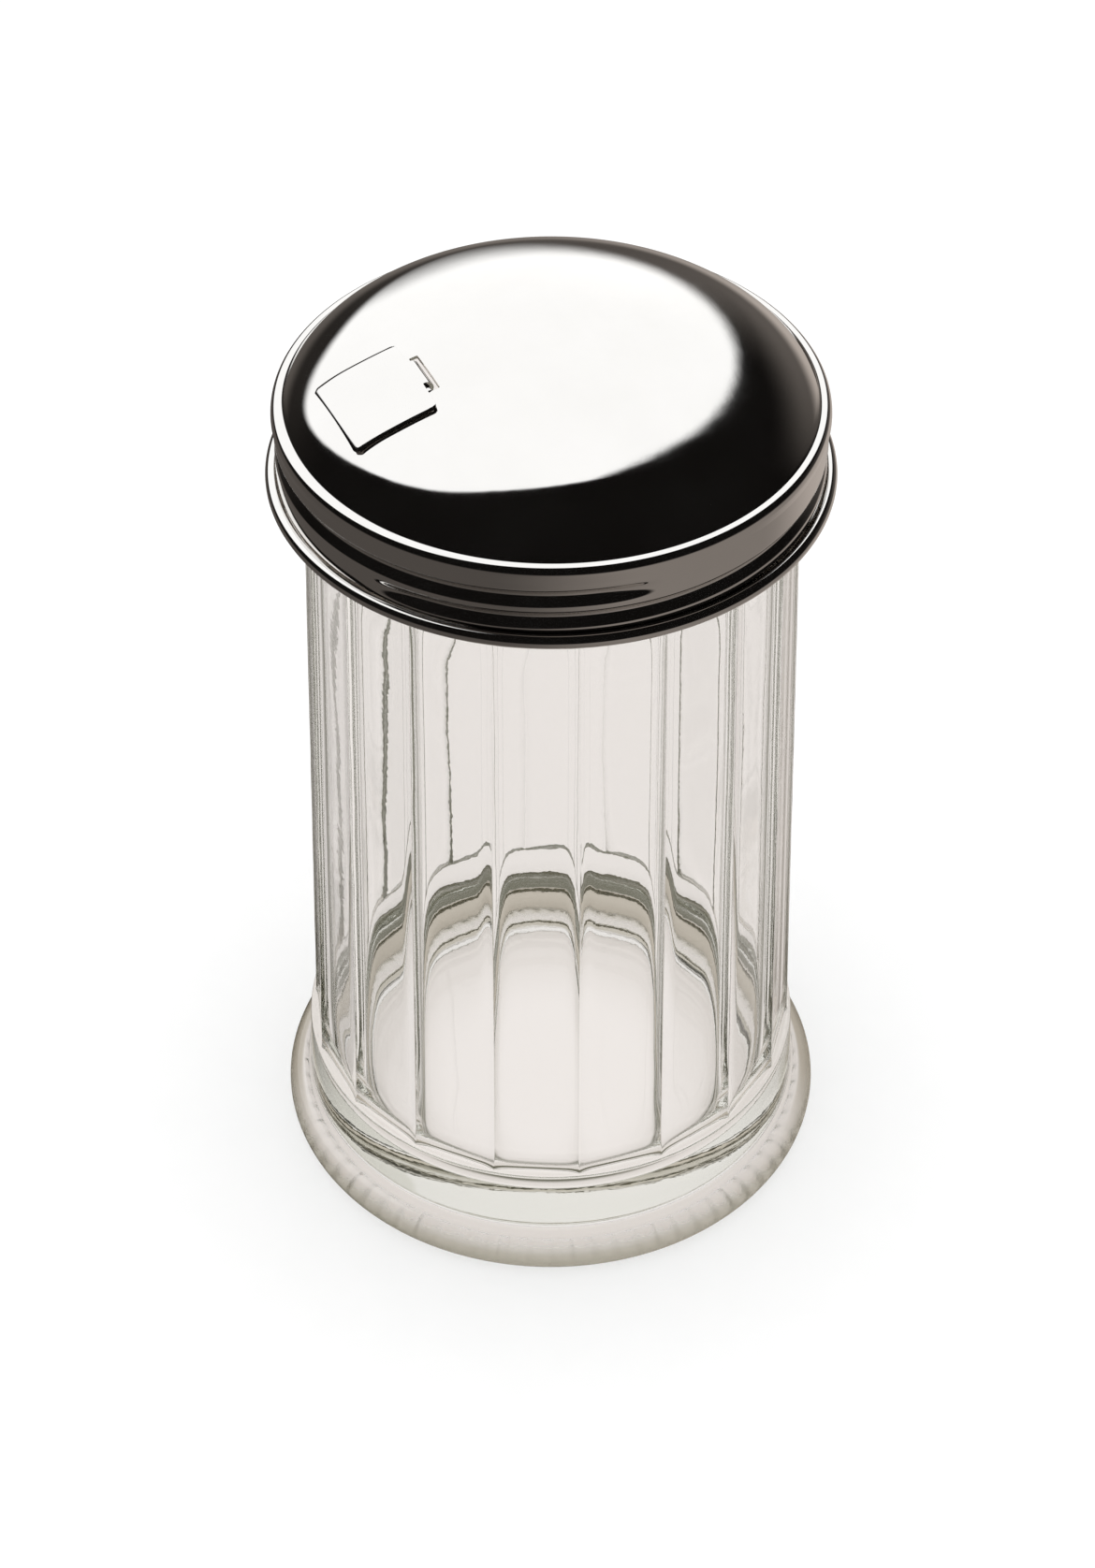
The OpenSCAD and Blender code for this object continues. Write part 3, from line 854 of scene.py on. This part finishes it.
# Noise: scale in cells per metre, then detail and roughness.
GLASS_CHILL = (260.0, 3.0, 0.55)
GLASS_RIPPLE = (70.0, 1.0, 0.4)
STEEL_GRAIN = (2600.0, 2.0, 0.6)
STEEL_SWELL = (160.0, 2.0, 0.5)
STEEL_SMUDGE = (90.0, 4.0, 0.6)
SEAL_GRAIN = (1800.0, 3.0, 0.6)
SEAL_CLOUD = (120.0, 2.0, 0.5)
LINES_ALONG = 120.0
LINES_ACROSS = 2600.0

STEEL_CLEAN = rgb(0.80, 0.78, 0.76)
STEEL_SMUDGED = rgb(0.75, 0.73, 0.705)
SEAL_LOW = rgb(0.80, 0.80, 0.76)
SEAL_HIGH = rgb(0.86, 0.86, 0.83)


def glass_material():
    """Clear pressed soda-lime glass: faint green in depth, fine chill texture, worn resting ring and
    painted shade as a grey tint on the outer foot ring."""
    material, n, output = new_material("pressed_glass")
    place = n.add("ShaderNodeTexCoord").outputs["Object"]
    rays = n.add("ShaderNodeLightPath").outputs
    chill = n.noise(*GLASS_CHILL, place)
    ripple = n.noise(*GLASS_RIPPLE, place)
    relief = n.math("ADD", n.math("MULTIPLY", chill, 0.35), ripple)
    bump = n.add("ShaderNodeBump", {"Height": relief, "Distance": 0.00005, "Strength": 0.35})
    place_parts = n.add("ShaderNodeSeparateXYZ", {0: place}).outputs
    height = place_parts[2]
    worn = n.ramp(height, *WORN_HEIGHT, *WORN_ROUGHNESS)
    flat = n.add("ShaderNodeCombineXYZ", {0: place_parts[0], 1: place_parts[1]}).outputs[0]
    reach = n.vector("LENGTH", flat)
    # Painted shade: a grey tint on the outer foot ring.
    ring = n.math("MULTIPLY", n.ramp(reach, *FOOT_SHADE_REACH), n.ramp(height, *FOOT_SHADE_HEIGHT))
    painted_foot_shade = n.blend(ring, WHITE, FOOT_SHADE_PAINT)
    look = {"Color": painted_foot_shade, "Roughness": worn, "IOR": GLASS_IOR, "Normal": bump.outputs[0]}
    glass = n.add("ShaderNodeBsdfGlass", look).outputs[0]
    clear = n.add("ShaderNodeBsdfTransparent", {"Color": GLASS_SHADOW}).outputs[0]
    through = n.math("MAXIMUM", rays["Is Shadow Ray"], rays["Is Diffuse Ray"])
    n.put(output.inputs["Surface"], n.mix(through, glass, clear))
    depth = {"Color": GLASS_DEPTH_COLOUR, "Density": GLASS_DEPTH_DENSITY}
    volume = n.add("ShaderNodeVolumeAbsorption", depth)
    n.put(output.inputs["Volume"], volume.outputs[0])
    return material


def steel_material(name, lines_scale):
    """Mirror-polished stainless sheet: faint polishing lines, soft waviness and smudges."""
    material, n, output = new_material(name)
    place = n.add("ShaderNodeTexCoord").outputs["Object"]
    grain = n.noise(*STEEL_GRAIN, place)
    swell = n.noise(*STEEL_SWELL, place)
    smudge = n.noise(*STEEL_SMUDGE, place)
    stretch = n.add("ShaderNodeMapping", {"Vector": place, "Scale": lines_scale}).outputs[0]
    lines = n.noise(1.0, 3.0, 0.6, stretch)
    rough = n.ramp(smudge, 0.3, 0.75, 0.035, 0.065)
    rough = n.math("ADD", rough, n.math("MULTIPLY", lines, 0.02))
    height = n.math("ADD", n.math("MULTIPLY", grain, 0.05), swell)
    height = n.math("ADD", height, n.math("MULTIPLY", lines, 0.05))
    bump = n.add("ShaderNodeBump", {"Height": height, "Distance": 0.00002, "Strength": 0.6})
    tone = n.blend(smudge, STEEL_CLEAN, STEEL_SMUDGED)
    look = {"Base Color": tone, "Metallic": 1.0, "Roughness": rough, "Normal": bump.outputs[0]}
    steel = n.add("ShaderNodeBsdfPrincipled", look)
    n.put(output.inputs["Surface"], steel.outputs[0])
    return material


def seal_material():
    """Milky soft plastic with a fine moulded grain."""
    material, n, output = new_material("milky_plastic")
    place = n.add("ShaderNodeTexCoord").outputs["Object"]
    grain = n.noise(*SEAL_GRAIN, place)
    cloud = n.noise(*SEAL_CLOUD, place)
    tone = n.blend(cloud, SEAL_LOW, SEAL_HIGH)
    bump = n.add("ShaderNodeBump", {"Height": grain, "Distance": 0.00004, "Strength": 0.5})
    rough = n.ramp(grain, 0.3, 0.7, 0.38, 0.5)
    look = {"Base Color": tone, "Roughness": rough, "Normal": bump.outputs[0]}
    plastic = n.add("ShaderNodeBsdfPrincipled", look)
    n.put(output.inputs["Surface"], plastic.outputs[0])
    return material


# ---- assemble ----

lid_steel = steel_material("polished_lid_steel", (LINES_ALONG, LINES_ACROSS, LINES_ACROSS))
flap_steel = steel_material("polished_flap_steel", (LINES_ACROSS, LINES_ALONG, LINES_ACROSS))
for maker, material, body, node, slot in (
    (make_jar, glass_material(), "jar", "jar", "glass"),
    (make_lid, lid_steel, "lid", "lid", "lid_steel"),
    (make_flap, flap_steel, "flap", "flap", "flap_steel"),
    (make_seal, seal_material(), "seal", "seal_ring", "seal"),
):
    piece = maker()
    piece.data.materials.clear()
    piece.data.materials.append(material)
    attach(piece, body)
    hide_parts(node)

# ---- stage, light and camera ----

TABLE_HALF = 3.0
TABLE_GAP = 0.0002


def make_floor():
    """Wide flat table a hair below the resting ring."""
    half = TABLE_HALF
    gap = TABLE_GAP
    mesh = bpy.data.meshes.new("table")
    corners = [(-half, -half, -gap), (half, -half, -gap), (half, half, -gap), (-half, half, -gap)]
    mesh.from_pydata(corners, [], [(0, 1, 2, 3)])
    table = bpy.data.objects.new("table", mesh)
    bpy.context.scene.collection.objects.link(table)
    mesh.materials.append(floor_material())
    table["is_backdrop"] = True


LAMP_ACROSS = 0.7
LAMP_WATTS = 1.9
LAMP_HEIGHT = 0.9


def make_light():
    """Broad soft lamp overhead. Mirrors and glass don't see it, only the table and the seal do."""
    lamp = bpy.data.lights.new("overhead", "AREA")
    lamp.shape = "DISK"
    lamp.size = LAMP_ACROSS
    lamp.energy = LAMP_WATTS
    obj = bpy.data.objects.new("overhead", lamp)
    obj.location = (0, 0, LAMP_HEIGHT)
    bpy.context.scene.collection.objects.link(obj)
    obj.visible_glossy = False
    obj.visible_transmission = False
    obj.visible_camera = False


CAMERA_AZIMUTH = 66.0
CAMERA_OUT = 0.3935
CAMERA_UP = 0.4150
AIM_BELOW_CENTRE = 0.0093
AIM_LEFT = 0.0005
CAMERA_LENS = 84.14
CAMERA_SENSOR = 36
CAMERA_CLIP = (0.01, 20)


def make_camera():
    """Camera above and to one side of the jar, aimed a little below its middle."""
    low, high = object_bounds()
    centre = (low + high) / 2
    a = math.radians(CAMERA_AZIMUTH)
    back = Vector((math.sin(a), -math.cos(a), 0))
    side = Vector((math.cos(a), math.sin(a), 0))
    data = bpy.data.cameras.new("camera")
    data.lens = CAMERA_LENS
    data.sensor_width = CAMERA_SENSOR
    data.clip_start, data.clip_end = CAMERA_CLIP
    camera = bpy.data.objects.new("camera", data)
    camera.location = Vector((0, 0, low.z)) + back * CAMERA_OUT + Vector((0, 0, CAMERA_UP))
    aim = Vector((0, 0, centre.z - AIM_BELOW_CENTRE)) - side * AIM_LEFT
    camera.rotation_euler = (aim - camera.location).to_track_quat("-Z", "Y").to_euler()
    bpy.context.scene.collection.objects.link(camera)
    bpy.context.scene.camera = camera


# Light crosses many walls of glass and bounces about inside the foot before a ray ends.
GLASS_BOUNCES = 32
MIRROR_BOUNCES = 24

build_world()
make_floor()
make_light()
make_camera()
bpy.context.scene.view_settings.view_transform = "Standard"
bpy.context.scene.cycles.max_bounces = GLASS_BOUNCES
bpy.context.scene.cycles.glossy_bounces = MIRROR_BOUNCES
bpy.context.scene.cycles.transmission_bounces = GLASS_BOUNCES
